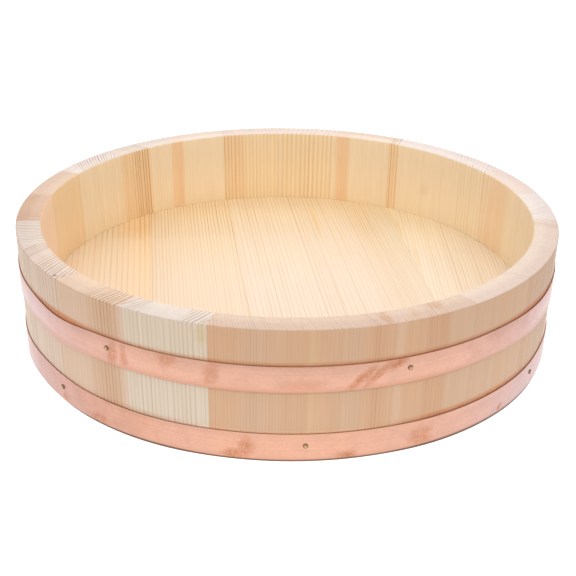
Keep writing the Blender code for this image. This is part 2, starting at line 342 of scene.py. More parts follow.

# %% [markdown]
# ## Softwood
#
# The tub's timber is pale, straight-grained softwood. Each yearly ring starts with pale early wood and ends
# in a thin darker line of late wood, with a sharp edge where the next year begins. Seen on a stave's face
# the rings are upright lines, and on the rim they are slanted lines across the end grain.
#
# A picture of wood could be laid on each face, but it would repeat, and it would break at every edge. Here
# one pattern fills the whole piece: the rings are sheets that lean as they go through the wood, so a line
# on the face runs on over the rim.
#
# A tone ramp across the piece tells where the timber is paler, warmer or more strongly lined. Its alpha
# carries the strength of the lines.

# %% Tones of the timber
# The inside tones are paler than the outside tones; this is partly the timber's own colour and partly painted
# shade on the outside.
TONES = {
    "tan": (0.560, 0.336, 0.198),
    "deep_tan": (0.530, 0.306, 0.178),
    "straw": (0.575, 0.370, 0.212),
    "fawn": (0.574, 0.366, 0.238),
    "beige": (0.585, 0.398, 0.280),
    "sand": (0.540, 0.345, 0.220),
    "stone": (0.485, 0.328, 0.234),
    "pink": (0.580, 0.398, 0.296),
    "pale": (0.596, 0.487, 0.376),
    "grey": (0.587, 0.443, 0.341),
    "honey": (0.827, 0.660, 0.446),
    "yellow": (0.834, 0.645, 0.401),
    "amber": (0.812, 0.588, 0.348),
    "orange": (0.813, 0.557, 0.327),
    "peach": (0.815, 0.590, 0.372),
    "brown": (0.760, 0.538, 0.314),
    "rose": (0.850, 0.620, 0.445),
    "cream": (0.733, 0.582, 0.449),
    "primrose": (0.748, 0.616, 0.470),
    "butter": (0.728, 0.567, 0.414),
    "apricot": (0.745, 0.530, 0.335),
    "rim_warm": (0.565, 0.409, 0.320),
    "rim_pink": (0.605, 0.478, 0.408),
    "rim_pale": (0.600, 0.515, 0.465),
    "rim_white": (0.632, 0.516, 0.466),
    "rim_milk": (0.645, 0.562, 0.540),
    "rim_blush": (0.612, 0.438, 0.320),
    "rim_rose": (0.500, 0.306, 0.204),
}


def tone_stops(stops):
    """Ramp stops from (place, tone, strength of the lines)."""
    return [(place, (*TONES[tone], lines)) for place, tone, lines in stops]


print(len(TONES), "tones of timber")

# %% Rings, fibres and tone of a piece of timber
# A year runs from 0 to 1. Its late wood darkens from the late start to the first ring edge, and ends
# between the other two. A year's own strength is drawn by chance, and is more alike in even timber.
LATE_START = 0.64
RING_EDGE = (0.92, 0.96, 1.0)
EVEN_RINGS = 0.3
RING_UNEVEN = 1.5
YEAR_STRENGTH, YEAR_DROP, YEAR_SPREAD = 0.75, 0.5, 1.1
DRIFT_RATE = 0.35
WANDER = 0.0009
WANDER_SCALE = (14, 14, 9)
BREAK_SCALE = (70, 70, 14)
BREAK_DEPTH = 1.6
STREAK_SCALE = (240, 240, 2.5)
FIBRE_SCALE = (1500, 1500, 22)


def timber_grain(across, depth, along, width, timber, seed):
    """Ring lines, streaks, fibres and tone of timber, from metres across it, into it and along it."""
    uneven = 1 - timber.get("even", EVEN_RINGS)
    place = across.node("ShaderNodeCombineXYZ", None, {0: across, 1: depth, 2: along})
    wander = place.noise(WANDER_SCALE, detail=3.0, seed=seed)
    through = across + depth * timber["lean"] + wander * WANDER
    drift = through.noise_along(DRIFT_RATE / timber["spacing"], seed) * (RING_UNEVEN * uneven)
    closer = through * (timber.get("tighten", 0) / width) + 1
    rings = through * closer / timber["spacing"] + drift
    year = rings.math("FRACT")
    full, end, gone = RING_EDGE
    late = year.rise(timber.get("late_start", LATE_START), full) * year.rise(gone, end)
    year_number = {"W": rings.math("FLOOR") + seed}
    own = rings.node("ShaderNodeTexWhiteNoise", {"noise_dimensions": "1D"}, year_number)
    own_strength = own * own * (YEAR_SPREAD * uneven) + (YEAR_STRENGTH - YEAR_DROP * uneven)
    broken = place.noise(BREAK_SCALE, detail=2.0, seed=seed + 5) * BREAK_DEPTH + 1
    ramp_place = through / width + 0.5
    settings = {"stops": tone_stops(timber["stops"])}
    tone = ramp_place.node("ShaderNodeValToRGB", settings, {"Fac": ramp_place})
    line = late * own_strength * broken * tone.beside("Alpha")
    streak = place.noise(STREAK_SCALE, detail=3.0, seed=seed + 3)
    fibre = place.noise(FIBRE_SCALE, detail=3.0, seed=seed)
    return line, streak, fibre, tone


print("ring pattern is ready")

# %% Stain, painted shade and painted light on the staves, by the hoops and the table
# A reach or a height is where an effect is nil and where it is full, in metres. A band or a front is half
# its width and how far it fades past that, in metres or degrees.
# Copper stain above the hoops, partly real and partly painted shade and copper-coloured reflection where the
# hoop's edge meets the wood.
STAIN_AND_SHADE = (0.86, 0.46, 0.24, 1)
STAIN_AND_SHADE_REACH = (0.0032, 0.0002)
STAIN_AND_SHADE_UNDER_HOOP = (-0.009, -0.008)
STAIN_AND_SHADE_EVENNESS = 0.95
HOOP_STAIN_AND_SHADE = {"upper_hoop": 0.65, "lower_hoop": 0.0}
# Painted shade in a thin band just under the upper hoop.
PAINTED_SHADE_UNDER_HOOP = (0.80, 0.70, 0.60, 1)
SHADE_UNDER_HOOP_BAND = (0.0004, 0.0018)
# Painted light on the wood just above the lower hoop at the front, lifting the shade that the hoop's edge
# casts.
PAINTED_LIGHT_ABOVE_HOOP = (1.16, 1.13, 1.10, 1)
LIGHT_ABOVE_HOOP_BAND = (0.0006, 0.0012)
LIGHT_ABOVE_HOOP_FRONT = (13, 12)
# Painted shade at the foot of the staves, below the lower hoop.
PAINTED_FOOT_SHADE = (0.50, 0.42, 0.36, 1)
FOOT_SHADE_HEIGHT = (0.0022, 0.0006)
# Painted light on the inside faces, stronger towards the floor.
PAINTED_INSIDE_LIGHT = (1.14, 1.18, 1.22, 1)
INSIDE_LIGHT_HEIGHT = (0.080, 0.035)

hoop_tops = {node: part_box(node)[1].z for node in ("upper_hoop", "lower_hoop")}
upper_hoop_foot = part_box("upper_hoop")[0].z

# The hoops were fitted by hand and aren't quite level. A wave is (angle, rise, half width of its crest and
# width of its flanks in degrees, extra stain and painted shade on the wood above it).
HOOP_WAVES = {
    "upper_hoop": [(-49, -0.0022, 1, 13, 0.5), (61, -0.0017, 1, 20, 0.4)],
    "lower_hoop": [
        (-58, 0.0018, 1, 18, 0.1), (-26, -0.0004, 2, 14, 0.4), (40, -0.0006, 10, 16, 0.75),
        (70, 0.0019, 1, 14, 0.2)],
}


def hoop_stain_and_shade(node, angle, height, span):
    """How strong the band of copper stain and painted shade is above a hoop. Where a hoop dips, the wood it
    leaves bare is in the band, and the band is stronger.
    """
    top, strength = hoop_tops[node], HOOP_STAIN_AND_SHADE[node]
    for middle, rise, crest, flank, more in HOOP_WAVES[node]:
        for turn in (0, 360):
            if span[0] - crest - flank < middle + turn < span[1] + crest + flank:
                near = angle.hump(middle + turn - sum(span) / 2, crest, flank)
                strength = near * more + strength
                top = near * max(rise, 0) + top
    over = height - top
    return over.rise(*STAIN_AND_SHADE_REACH) * over.rise(*STAIN_AND_SHADE_UNDER_HOOP) * strength


def stain_and_painted_light(colour, degrees, height, outside, streak, span):
    """Stain and painted shade above the hoops, painted shade under the upper one, painted light above the
    lower one at the front, painted shade at the foot and painted light low inside.
    """
    for node in hoop_tops:
        # A band above each hoop: partly copper stain, partly painted shade and copper-coloured reflection.
        stained = hoop_stain_and_shade(node, degrees, height, span) * outside * (streak + STAIN_AND_SHADE_EVENNESS)
        colour = colour.mix(STAIN_AND_SHADE, stained.math("MINIMUM", 1), "MULTIPLY")
    # Painted shade under the upper hoop.
    colour = colour.mix(PAINTED_SHADE_UNDER_HOOP, height.hump(upper_hoop_foot, *SHADE_UNDER_HOOP_BAND) * outside, "MULTIPLY")
    # Painted light above the lower hoop, at the front only.
    front = degrees.hump(-sum(span) / 2, *LIGHT_ABOVE_HOOP_FRONT)
    lit_above_hoop = height.hump(hoop_tops["lower_hoop"], *LIGHT_ABOVE_HOOP_BAND) * front
    colour = colour.mix(PAINTED_LIGHT_ABOVE_HOOP, lit_above_hoop * outside, "MULTIPLY")
    # Painted shade at the foot.
    colour = colour.mix(PAINTED_FOOT_SHADE, height.rise(*FOOT_SHADE_HEIGHT) * outside, "MULTIPLY")
    # Painted light inside, stronger low down.
    return colour.mix(PAINTED_INSIDE_LIGHT, height.rise(*INSIDE_LIGHT_HEIGHT) * (1 - outside), "MULTIPLY")


print("hoop tops, m:", {node: round(top, 4) for node, top in hoop_tops.items()})

# %% Stave finish
COOL_LATE_WOOD = (0.62, 0.48, 0.35, 1)
WARM_LATE_WOOD = (0.70, 0.49, 0.25, 1)
FACE_LINES, RIM_LINES = 0.8, 0.9
GAP_SOFTNESS = 1.5
END_SLOPE = (0.45, 0.85)
END_SHARE = 0.8
INSIDE_SKIN, OUTSIDE_SKIN = 0.004, 0.006
FAR_FACE_SHARE = 0.85
PORE_SCALE = (900, 900, 900)
PORE_TONE = 0.20
MARK_RAGGEDNESS = 1.2
# Painted bounce light from the table: the outside faces are lighter low down and darker high up.
TABLE_BOUNCE_SHADE = 0.05
TABLE_BOUNCE_HEIGHT = (0.030, 0.072)
FIBRE_TONE = 0.13
STREAK_TONE = 0.14
GRAIN_HUE = (0.72, 1.05, 1.45)
WOOD_ROUGHNESS = 0.58
FIBRE_ROUGHNESS = 0.25
FIBRE_RELIEF = 0.00003
RING_RELIEF = 0.00015


def stave_finish(name, span, timber, seed):
    """Timber of one stave, with end grain on its rim and foot, stain, painted light and shade, and any marks
    of its own.
    """
    material, shader, place = new_finish(name)
    first, last = (math.radians(angle) for angle in span)
    turn = {"Vector": place, "Rotation": (0, 0, -(first + last) / 2)}
    turned = place.node("ShaderNodeMapping", None, turn)
    x = turned.node("ShaderNodeSeparateXYZ", None, {0: turned})
    y, height = x.beside("Y"), x.beside("Z")
    radius = (x * x + y * y).math("SQRT")
    angle = x.math("ARCTAN2", y * -1)
    degrees = angle * math.degrees(1)
    face = rim_inside if timber.get("inside") else rim_outside
    width = (last - first) * face
    line, streak, fibre, tone = timber_grain(angle * face, face - radius, height, width, timber, seed)
    upright = x.node("ShaderNodeNewGeometry", output="Normal")
    slope = upright.node("ShaderNodeSeparateXYZ", None, {0: upright}, output="Z").math("ABSOLUTE")
    end = slope.rise(*END_SLOPE)
    outside = radius.rise(rim_inside + INSIDE_SKIN, rim_outside - OUTSIDE_SKIN)
    # The other face takes the far tone, so outside faces come out darker than inside ones: partly the
    # timber's own colour, partly painted shade.
    far_side = outside if timber.get("inside") else 1 - outside
    tone = tone.mix((*TONES[timber["far"]], 1), far_side * FAR_FACE_SHARE)
    face_line = (line * timber.get("face_lines", FACE_LINES)).math("MINIMUM", 1)
    rim_line = (line * timber.get("rim_lines", RIM_LINES)).math("MINIMUM", 1)
    if "rim_gap" in timber:
        gap_middle, gap_half = timber["rim_gap"]
        rim_line = rim_line * (1 - degrees.hump(gap_middle - sum(span) / 2, gap_half, GAP_SOFTNESS))
    late_wood = COOL_LATE_WOOD if timber.get("cool") else WARM_LATE_WOOD
    face_colour = tone.mix(late_wood, face_line, "MULTIPLY")
    end_tone = tone.mix((*TONES[timber["rim"]], 1), timber.get("end_share", END_SHARE))
    end_colour = end_tone.mix(COOL_LATE_WOOD, rim_line, "MULTIPLY")
    colour = face_colour.mix(end_colour, end)
    colour = stain_and_painted_light(colour, degrees, height, outside, streak, span)
    pores = place.noise(PORE_SCALE, detail=2.0, seed=seed)
    faces = {
        "rim": (end, radius),
        "outside": ((1 - end) * outside, height),
        "inside": (1 - outside, height),
    }
    for mark in timber.get("marks", []):
        shown, upward = faces[mark["face"]]
        around = mark["angle"] - sum(span) / 2
        spot = patch(degrees, upward, (around, mark["at"]), mark["half"], 0, pores * MARK_RAGGEDNESS)
        colour = colour.mix((*mark["tint"], 1), spot * shown, "MULTIPLY")
    # Painted bounce light: outside faces lighter low, darker high.
    table_bounce_shade = (height.rise(*TABLE_BOUNCE_HEIGHT) - 0.5) * outside * (1 - end) * TABLE_BOUNCE_SHADE
    shade = fibre * FIBRE_TONE + streak * STREAK_TONE + pores * end * PORE_TONE - table_bounce_shade
    colour.tinted(shade, GRAIN_HUE).into(shader, "Base Color")
    (fibre * FIBRE_ROUGHNESS + WOOD_ROUGHNESS).into(shader, "Roughness")
    bump_into(shader, fibre * FIBRE_RELIEF - rim_line * end * RING_RELIEF)
    return material


print("stave finish is ready")

# %% Timber of each stave, from the first joint right of the front
# A stop is (place across the stave, tone, strength of its lines). Lean is how far a ring moves sideways for
# each unit that it goes into the wall, and even is how alike the rings are. The stops describe the outside,
# or the inside where inside is true, and far is the tone of the other side. Late start is where in a year
# the late wood begins. Face lines and rim lines scale the lines there, and end share is how far the rim's
# tone covers the end grain. Cool timber has greyer lines. A rim gap is a stretch of clear end grain, with
# its middle and half width in degrees. A mark is a small stain: the face it is on, its angle, its radius or
# height, its half sizes in degrees and metres, and its tint.
RUST = (0.92, 0.79, 0.66)
STAVES = {
    "stave_01": dict(
        lean=0.3, spacing=0.0020, rim="rim_warm", far="amber", rim_lines=1.9,
        marks=[dict(face="rim", angle=18.6, at=0.172, half=(1.3, 0.010), tint=RUST)],
        stops=[
            (0, "tan", 0.25), (0.06, "tan", 0.2), (0.1, "straw", 0.2), (0.22, "tan", 0.2),
            (0.6, "sand", 0.25), (0.72, "tan", 0.3), (0.8, "deep_tan", 0.4), (0.97, "tan", 0.4),
            (1, "tan", 0.3)],
    ),
    "stave_02": dict(
        lean=-0.2, spacing=0.0023, rim="rim_warm", far="honey", face_lines=0.6, rim_lines=1.4,
        marks=[
            dict(face="rim", angle=29.6, at=0.168, half=(2.2, 0.006), tint=RUST),
            dict(face="rim", angle=24.4, at=0.172, half=(1.2, 0.007), tint=(0.96, 0.90, 0.82))],
        stops=[
            (0, "tan", 0.2), (0.035, "fawn", 0.15), (0.09, "fawn", 0.15), (0.14, "tan", 0.25),
            (0.33, "tan", 0.25), (0.4, "deep_tan", 0.4), (0.63, "deep_tan", 0.35), (0.68, "sand", 0.2),
            (1, "sand", 0.2)],
    ),
    "stave_03": dict(
        lean=-0.9, spacing=0.0024, rim="rim_pink", far="yellow", rim_lines=0.15,
        stops=[
            (0, "sand", 0.3), (0.4, "sand", 0.25), (0.5, "tan", 0.35), (0.62, "sand", 0.35),
            (1, "sand", 0.25)],
    ),
    "stave_04": dict(
        lean=-0.9, spacing=0.0027, rim="rim_pink", far="honey", rim_lines=0.15,
        stops=[(0, "sand", 1.2), (1, "stone", 1.0)],
    ),
    "stave_05": dict(
        lean=-0.3, spacing=0.0024, rim="rim_pink", far="honey", rim_lines=0.9,
        stops=[
            (0, "pink", 0.2), (0.66, "pink", 0.2), (0.7, "deep_tan", 0.8), (0.82, "tan", 0.7),
            (0.86, "pink", 0.2), (1, "pink", 0.2)],
    ),
    "stave_06": dict(
        lean=0.7, spacing=0.0026, cool=True, rim="rim_milk", far="honey",
        stops=[(0, "pale", 0.5), (0.45, "pale", 0.8), (0.6, "pale", 0.2), (1, "pale", 0.2)],
    ),
    "stave_07": dict(
        lean=-0.5, spacing=0.0028, rim="rim_white", far="beige", inside=True,
        stops=[
            (0, "honey", 0.2), (0.2, "honey", 0.2), (0.35, "peach", 0.2), (0.75, "peach", 0.25),
            (1, "honey", 0.25)],
    ),
    "stave_08": dict(
        lean=0.8, spacing=0.0034, even=0.5, rim="rim_milk", far="sand", inside=True,
        stops=[
            (0, "peach", 0.5), (0.1, "honey", 0.6), (0.65, "honey", 0.45), (0.75, "honey", 0.15),
            (1, "honey", 0.1)],
    ),
    "stave_09": dict(
        lean=0.2, spacing=0.0022, rim="rim_milk", far="beige", face_lines=1.2, rim_lines=1.4, inside=True,
        marks=[dict(face="inside", angle=139, at=0.054, half=(1.8, 0.007), tint=(0.95, 0.925, 0.89))],
        stops=[(0, "honey", 0.12), (0.9, "honey", 0.12), (0.93, "amber", 0.9), (1, "amber", 0.9)],
    ),
    "stave_10": dict(
        lean=0.2, spacing=0.0022, rim="rim_white", far="tan", end_share=0.6, face_lines=1.3, rim_lines=1.6,
        inside=True,
        stops=[
            (0, "amber", 0.9), (0.08, "amber", 0.9), (0.1, "honey", 0.1), (0.76, "honey", 0.12),
            (0.8, "orange", 0.15), (0.97, "orange", 0.15), (1, "honey", 0.2)],
    ),
    "stave_11": dict(
        lean=-0.1, spacing=0.0036, late_start=0.3, even=0.7, rim="rim_white", far="pale", face_lines=0.58,
        rim_lines=0.3, inside=True,
        stops=[
            (0, "yellow", 0.7), (0.06, "honey", 0.8), (0.1, "yellow", 0.9), (0.95, "yellow", 0.9),
            (1, "honey", 0.6)],
    ),
    "stave_12": dict(
        lean=0.1, spacing=0.0029, late_start=0.4, even=0.7, rim="rim_white", far="sand", face_lines=0.58,
        rim_lines=0.3, inside=True,
        stops=[
            (0, "yellow", 0.8), (0.6, "yellow", 0.9), (0.68, "amber", 1.0), (0.97, "amber", 1.0),
            (1, "amber", 0.8)],
    ),
    "stave_13": dict(
        lean=-0.4, spacing=0.0024, rim="rim_white", far="beige", end_share=0.6, inside=True,
        stops=[
            (0, "honey", 0.1), (0.74, "honey", 0.1), (0.78, "orange", 0.1), (0.97, "orange", 0.1),
            (1, "honey", 0.1)],
    ),
    "stave_14": dict(
        lean=0.3, spacing=0.0025, rim="rim_pale", far="deep_tan", face_lines=2.0, inside=True,
        stops=[
            (0, "honey", 0.04), (0.38, "honey", 0.04), (0.42, "amber", 1.0), (0.48, "brown", 1.0),
            (0.66, "brown", 1.0), (0.72, "amber", 0.3), (0.97, "amber", 0.2), (1, "honey", 0.1)],
    ),
    "stave_15": dict(
        lean=-0.8, spacing=0.0026, even=0.4, rim="rim_milk", far="beige", rim_lines=4.6, inside=True,
        stops=[(0, "honey", 0.25), (0.4, "honey", 0.4), (0.7, "honey", 0.4), (1, "honey", 0.1)],
    ),
    "stave_16": dict(
        lean=0.4, spacing=0.0028, rim="rim_warm", far="tan", rim_lines=1.5, inside=True,
        stops=[(0, "amber", 0.2), (0.5, "amber", 0.2), (1, "amber", 0.25)],
    ),
    "stave_17": dict(
        lean=0.05, spacing=0.0024, rim="rim_rose", far="sand", rim_lines=1.4, inside=True,
        marks=[dict(face="rim", angle=268.6, at=0.178, half=(1.8, 0.004), tint=(0.75, 0.62, 0.52))],
        stops=[(0, "rose", 0.4), (0.5, "rose", 0.5), (1, "rose", 0.8)],
    ),
    "stave_18": dict(
        lean=-0.15, spacing=0.0028, cool=True, rim="rim_pale", far="honey", rim_lines=6.0,
        stops=[(0, "grey", 0.5), (0.4, "grey", 0.4), (1, "grey", 0.1)],
    ),
    "stave_19": dict(
        lean=0.6, spacing=0.0031, cool=True, rim="rim_pink", far="honey", face_lines=1.5, rim_lines=3.0,
        marks=[dict(face="rim", angle=-49.9, at=0.1775, half=(0.45, 0.0016), tint=(0.40, 0.30, 0.22))],
        stops=[
            (0, "grey", 0.2), (0.08, "grey", 0.3), (0.12, "grey", 0.9), (0.34, "grey", 0.9),
            (0.38, "grey", 0.25), (0.5, "grey", 0.25), (0.55, "grey", 1.0), (0.97, "grey", 1.0),
            (1, "beige", 0.6)],
    ),
    "stave_20": dict(
        lean=-0.1, spacing=0.0027, even=0.4, rim="rim_blush", far="amber", rim_lines=2.6,
        rim_gap=(-44.5, 3.3),
        stops=[
            (0, "beige", 0.5), (0.05, "beige", 0.35), (0.5, "beige", 0.3), (0.66, "sand", 1.1),
            (0.93, "sand", 1.1), (1, "beige", 1.0)],
    ),
    "stave_21": dict(
        lean=-0.4, spacing=0.0028, even=0.4, cool=True, rim="rim_pale", far="honey", face_lines=0.6,
        rim_lines=1.6, rim_gap=(-22.5, 3.5),
        marks=[
            dict(face="outside", angle=-14.8, at=0.079, half=(1.1, 0.009), tint=(0.93, 0.91, 0.72)),
            dict(face="rim", angle=-14.6, at=0.177, half=(1.0, 0.004), tint=(0.94, 0.92, 0.76))],
        stops=[
            (0, "beige", 0.9), (0.08, "pale", 0.9), (0.35, "pale", 0.9), (0.4, "pale", 0.6),
            (0.65, "pale", 0.7), (0.7, "pale", 0.9), (0.9, "pale", 0.8), (1, "pale", 0.5)],
    ),
    "stave_22": dict(
        lean=0.35, spacing=0.0018, even=0.2, rim="rim_warm", far="yellow", rim_lines=1.0,
        stops=[(0, "tan", 0.3), (0.2, "tan", 0.6), (0.5, "sand", 0.45), (1, "tan", 0.4)],
    ),
}
print(len(STAVES), "staves have their timber")

# %% [markdown]
# ## Staves
#
# A cooper planes every stave to the same section and only the widths differ. A whole ring could be cut into
# staves, but then every cut would have to be closed and eased again. So the section is modelled once, flat,
# at the front of the tub: a plane gets the wall's taper, three cuts and a deleted face make the groove that
# holds the floor, and rounded corners ease the rim and the foot. Each stave is then a copy of that section,
# turned to its first joint and spun to its last. The two ends of the spin are its joint faces.

# %% Selecting by place
def choose(kind, wanted):
    """Selects the verts, edges or faces whose middle the test accepts, and counts them."""
    mesh = bmesh.from_edit_mesh(bpy.context.object.data)
    bpy.ops.mesh.select_all(action="DESELECT")
    bpy.context.tool_settings.mesh_select_mode = [kind == name for name in ("verts", "edges", "faces")]
    count = 0
    for element in getattr(mesh, kind):
        corners_of = [element] if kind == "verts" else element.verts
        middle = sum((vertex.co for vertex in corners_of), Vector()) / len(corners_of)
        if wanted(middle):
            element.select_set(True)
            count += 1
    mesh.select_flush_mode()
    bmesh.update_edit_mesh(bpy.context.object.data)
    return count


def upright_plane(name, near, far, low, high):
    """A plane in the front radial plane, between two radii and two heights, left in edit mode."""
    bpy.ops.object.select_all(action="DESELECT")
    bpy.ops.mesh.primitive_plane_add(size=1, rotation=(0, math.pi / 2, 0))
    bpy.context.object.name = name
    bpy.ops.object.transform_apply(location=True, rotation=True, scale=True)
    bpy.ops.object.mode_set(mode="EDIT")
    bpy.ops.transform.resize(value=(1, far - near, high - low))
    bpy.ops.transform.translate(value=(0, -(near + far) / 2, (low + high) / 2))
    return bpy.context.object


print("selection helpers are ready")

# %% The section that every stave shares
RIM_EASE = 0.0009
FOOT_EASE = 0.0015
EASE_STEPS = 4
GROOVE_GAP = 0.00006

section = upright_plane("stave_section", rim_inside, rim_outside, 0, tub_height)
middle_radius = (rim_inside + rim_outside) / 2
choose("verts", lambda p: p.z < tub_height / 2 and -p.y > middle_radius)
bpy.ops.transform.translate(value=(0, rim_outside - foot_outside, 0))
choose("verts", lambda p: p.z < tub_height / 2 and -p.y < middle_radius)
bpy.ops.transform.translate(value=(0, rim_inside - foot_inside, 0))

groove_low, groove_high = floor_bottom - GROOVE_GAP, floor_top + GROOVE_GAP
groove_radius = floor_radius + GROOVE_GAP
for height in (groove_low, groove_high):
    bpy.ops.mesh.select_all(action="SELECT")
    bpy.ops.mesh.bisect(plane_co=(0, 0, height), plane_no=(0, 0, 1))
choose("faces", lambda p: groove_low < p.z < groove_high)
bpy.ops.mesh.bisect(plane_co=(0, -groove_radius, 0), plane_no=(0, 1, 0))
cut_away = choose("faces", lambda p: groove_low < p.z < groove_high and -p.y < groove_radius)
bpy.ops.mesh.delete(type="FACE")

choose("verts", lambda p: p.z > tub_height - EDGE_BAND)
bpy.ops.mesh.bevel(offset=RIM_EASE, segments=EASE_STEPS, affect="VERTICES")
choose("verts", lambda p: p.z < EDGE_BAND)
bpy.ops.mesh.bevel(offset=FOOT_EASE, segments=EASE_STEPS, affect="VERTICES")
bpy.ops.object.mode_set(mode="OBJECT")
print("section has", len(section.data.vertices), "corners;", cut_away, "face cut away for the groove")

# %% Copies, finishing and riding
BODY = "root"
FINE_STEPS = 2
SMOOTH_BELOW = math.radians(35)


def copy_of(model, name):
    """A copy with its own mesh, alone in the selection."""
    bpy.ops.object.select_all(action="DESELECT")
    made = model.copy()
    made.data = model.data.copy()
    made.name = name
    bpy.context.scene.collection.objects.link(made)
    made.select_set(True)
    bpy.context.view_layer.objects.active = made
    return made


def ease_edges(piece, width):
    """Rounds the sharp edges with an applied Bevel and shades the rest smooth."""
    bevel = piece.modifiers.new("eased_edges", "BEVEL")
    bevel.width = width
    bevel.segments = FINE_STEPS
    bevel.limit_method = "ANGLE"
    bevel.angle_limit = SMOOTH_BELOW
    bpy.ops.object.modifier_apply(modifier=bevel.name)
    bpy.ops.object.shade_smooth_by_angle(angle=SMOOTH_BELOW)


def settle(piece, node, finish):
    """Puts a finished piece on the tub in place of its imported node."""
    piece.data.materials.clear()
    piece.data.materials.append(finish)
    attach(piece, BODY)
    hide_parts(node)


print("pieces will ride on", BODY)

# %% Spin every stave from its first joint to its last
STAVE_STEPS = 16
JOINT_EASE = 0.00005
JOINT_OPEN = 0.00001
WELD = 1e-6
STAVE_SEED = 7.3

for number, node in enumerate(stave_nodes, 1):
    first, last = (math.radians(angle) for angle in spans[node])
    previous_last = math.radians(spans[stave_nodes[number - 2]][1])
    next_first = math.radians(spans[stave_nodes[number % STAVE_COUNT]][0])
    before = (first - previous_last + math.pi) % (2 * math.pi) - math.pi
    after = (next_first - last + math.pi) % (2 * math.pi) - math.pi
    closing = JOINT_OPEN / rim_outside / 2
    start, end = first - before / 2 + closing, last + after / 2 - closing
    stave = copy_of(section, "tub_" + node)
    stave.rotation_euler = (0, 0, start)
    bpy.ops.object.transform_apply(location=True, rotation=True, scale=True)
    bpy.ops.object.mode_set(mode="EDIT")
    bpy.ops.mesh.select_all(action="SELECT")
    bpy.ops.mesh.spin(steps=STAVE_STEPS, angle=start - end, center=(0, 0, 0), axis=(0, 0, 1))
    bpy.ops.mesh.select_all(action="SELECT")
    bpy.ops.mesh.remove_doubles(threshold=WELD)
    bpy.ops.mesh.normals_make_consistent(inside=False)
    bpy.ops.object.mode_set(mode="OBJECT")
    ease_edges(stave, JOINT_EASE)
    finish = stave_finish(f"timber_of_{node}", spans[node], STAVES[node], seed=STAVE_SEED * number)
    settle(stave, node, finish)

bpy.data.objects.remove(section)
print(STAVE_COUNT, "staves,", len(stave.data.polygons), "faces in the last")

# %% [markdown]
# ## Floor boards
#
# The floor is a disc of five boards whose grain runs from front to back, turned a little. A joiner glues
# the boards up and then saws the disc. Here a round disc is cut down to one board by two flat cuts, which
# is the same thing the other way round and gives each board its true outline.

# %% Floor timber
FLOOR_TURN = math.radians(6.9)
BOARD_COUNT = 5

# Swing turns the grain away from the board's own length, in radians, and tighten brings the rings closer on
# one side. Quiet is how much of the lines' strength is lost towards the front, and raised is how much
# stronger they are close to the back wall. A streak is resin in the wood: its place across and along the
# floor, its half sizes, its slant and its tint.
RESIN = (0.975, 0.915, 0.76)
PALE_STREAK = (1.0, 1.02, 1.06)
THIN_RESIN = (0.985, 0.93, 0.84)
BOARDS = {
    "floor_board_1": dict(
        lean=0.5, spacing=0.0040, even=0.6, swing=0.0, quiet=0.2, raised=0.6,
        streaks=[((-0.1080, 0.100), (0.020, 0.024), 0, THIN_RESIN)],
        stops=[(0, "butter", 0.5), (0.6, "butter", 0.5), (0.9, "apricot", 0.55), (1, "apricot", 0.55)],
    ),
    "floor_board_2": dict(
        lean=-0.4, spacing=0.00257, even=0.7, swing=0.0, quiet=0.2, raised=0.8,
        streaks=[
            ((-0.0306, 0.080), (0.0010, 0.050), 0, (0.965, 0.91, 0.83)),
            ((-0.0306, 0.000), (0.0008, 0.190), 0, (0.985, 0.955, 0.91))],
        stops=[(0, "butter", 0.55), (1, "butter", 0.5)],
    ),
    "floor_board_3": dict(
        lean=0.3, spacing=0.0030, even=0.5, swing=0.01, quiet=0.2, raised=0.1,
        stops=[(0, "cream", 0.53), (1, "cream", 0.53)],
    ),
    "floor_board_4": dict(
        lean=-0.6, spacing=0.0024, tighten=0.25, even=0.4, swing=0.02, quiet=0.25, raised=0.1,
        streaks=[
            ((0.0345, 0.110), (0.0030, 0.050), 0, RESIN),
            ((0.0480, 0.105), (0.0010, 0.050), -0.02, RESIN),
            ((0.0505, 0.070), (0.0010, 0.040), -0.02, THIN_RESIN),
            ((0.0690, 0.095), (0.0100, 0.040), 0, (0.995, 0.955, 0.90))],
        stops=[(0, "cream", 0.58), (0.35, "cream", 0.58), (0.6, "butter", 0.62), (1, "primrose", 0.62)],
    ),
    "floor_board_5": dict(
        lean=0.4, spacing=0.0027, even=0.4, swing=-0.11, quiet=0.0, raised=0.0,
        streaks=[
            ((0.0965, 0.095), (0.0034, 0.035), 0, RESIN),
            ((0.0985, 0.030), (0.0028, 0.025), 0.1, THIN_RESIN),
            ((0.1030, 0.015), (0.0026, 0.050), 0.1, PALE_STREAK),
            ((0.1180, 0.080), (0.0300, 0.060), 0, (1.06, 1.06, 1.04))],
        stops=[(0, "primrose", 0.30), (0.2, "primrose", 0.50), (1, "primrose", 0.55)],
    ),
}


print(len(BOARDS), "boards have their timber")

# %% Floor board finish
FLOOR_ROUGHNESS = 0.55
FLOOR_LATE_WOOD = (0.72, 0.50, 0.25, 1)
# Painted warm bounce light from the back wall, spread over the back of the floor.
PAINTED_BACK_BOUNCE = (1.085, 1.07, 0.94, 1)
BACK_STARTS = -0.3
RAISED_REACH = (0.076, 0.090)
# Painted light at the far end of the floor, next to the back wall.
PAINTED_BACK_LIGHT = (1.10, 1.11, 1.06, 1)
BACK_LIGHT_REACH = (0.085, 0.140)
SWING_PIVOT = 0.8
FLOOR_STREAKS = 0.8
STREAK_RAGGEDNESS = 0.8


